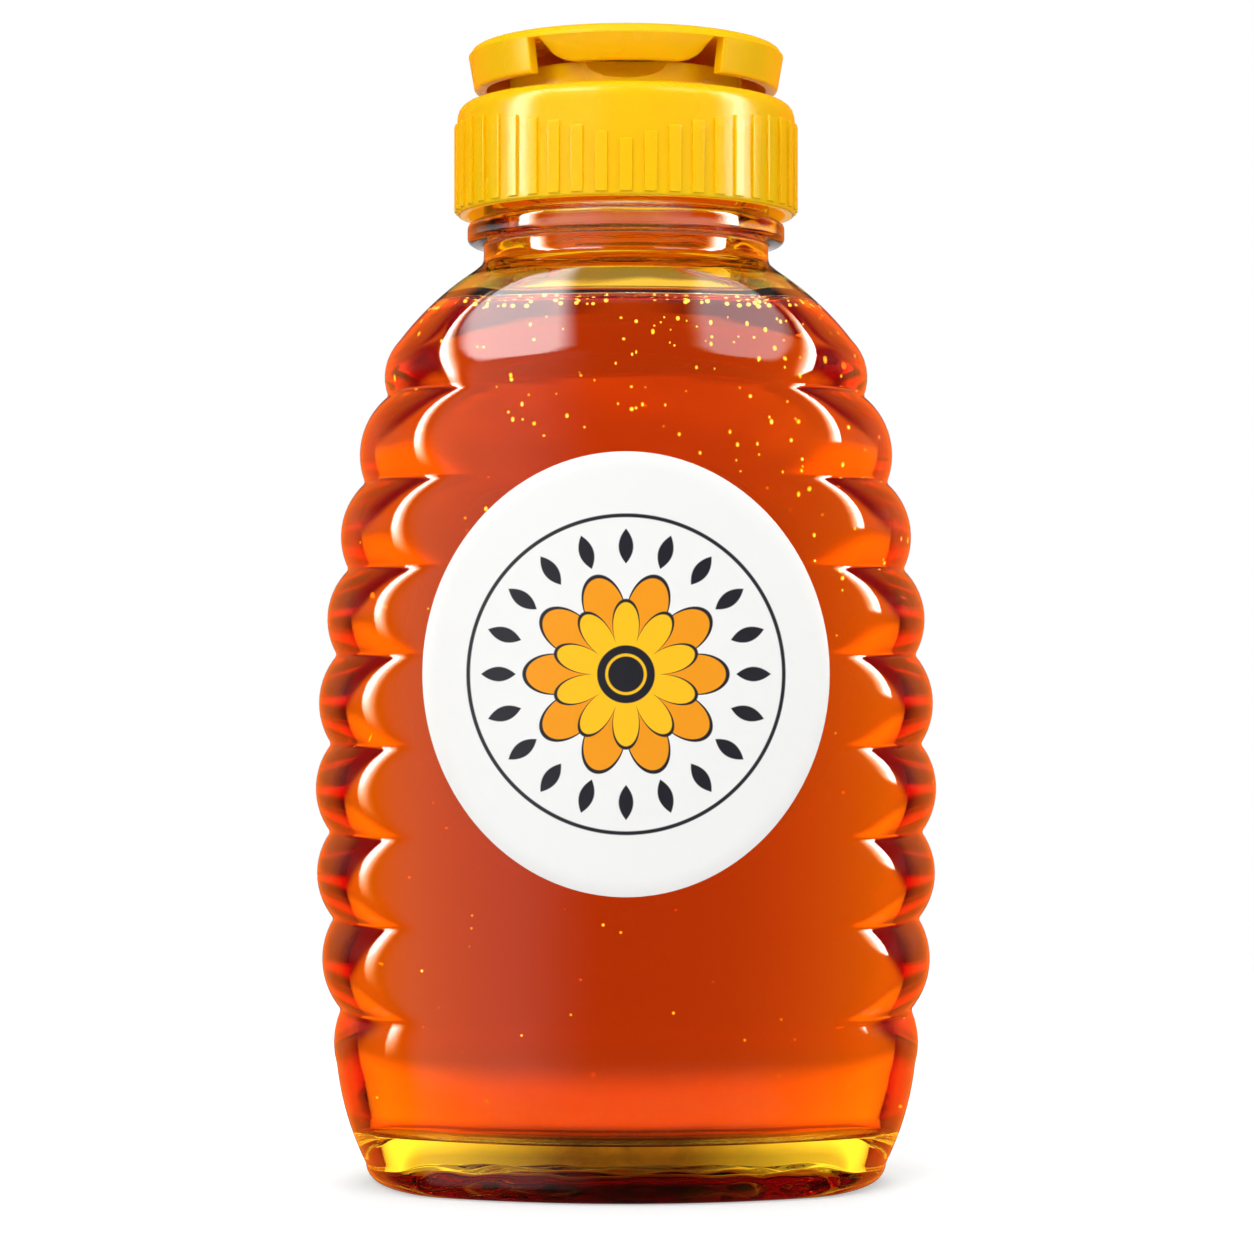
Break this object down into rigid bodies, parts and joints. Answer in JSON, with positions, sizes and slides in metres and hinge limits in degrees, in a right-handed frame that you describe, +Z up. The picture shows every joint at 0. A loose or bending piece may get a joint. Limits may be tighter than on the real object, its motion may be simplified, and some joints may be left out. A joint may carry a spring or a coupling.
{
  "type": "honey squeeze bottle",
  "caption": "Clear oval squeeze bottle with ribbed ends, full of amber honey, with a round front sticker and a ribbed yellow screw cap under a hinged flip lid.",
  "frame": {"origin": "middle of the base, on the surface that the bottle stands on", "axes": "+Z up along the neck's axis, -Y out of the front panel with the label, +X to the right as seen from the front"},
  "size_m": [0.0748, 0.048, 0.137],
  "materials": {
    "clear_pet": "gloss",
    "honey": "gloss",
    "label_film": "satin",
    "yellow_polypropylene": "gloss",
    "clear_silicone": "satin",
    "natural_polypropylene": "satin"
  },
  "bodies": {
    "bottle": {"bottle": "clear_pet", "honey": "honey", "front_label": "label_film"},
    "valve_unit": {"valve": "clear_silicone", "valve_ring": "natural_polypropylene"},
    "cap": {"cap": "yellow_polypropylene", "film_hinge": "yellow_polypropylene"},
    "lid": {"flip_lid": "yellow_polypropylene"}
  },
  "joints": [
    {"name": "cap_rise", "type": "slide", "parent": "bottle", "child": "valve_unit", "axis": [0, 0, 1], "range_m": [0, 0.0053]},
    {"name": "cap_turn", "type": "hinge", "parent": "valve_unit", "child": "cap", "pos_m": [0, 0, 0.123], "axis": [0, 0, 1], "range_deg": [0, 450]},
    {"name": "lid_hinge", "type": "hinge", "parent": "cap", "child": "lid", "pos_m": [0, 0.0203, 0.13045], "axis": [-1, 0, 0], "range_deg": [0, 180], "deforming": ["film_hinge"]}
  ],
  "couplings": [
    {"joint": "cap_rise", "follows": "cap_turn", "m_per_rad": 0.00067376}
  ]
}
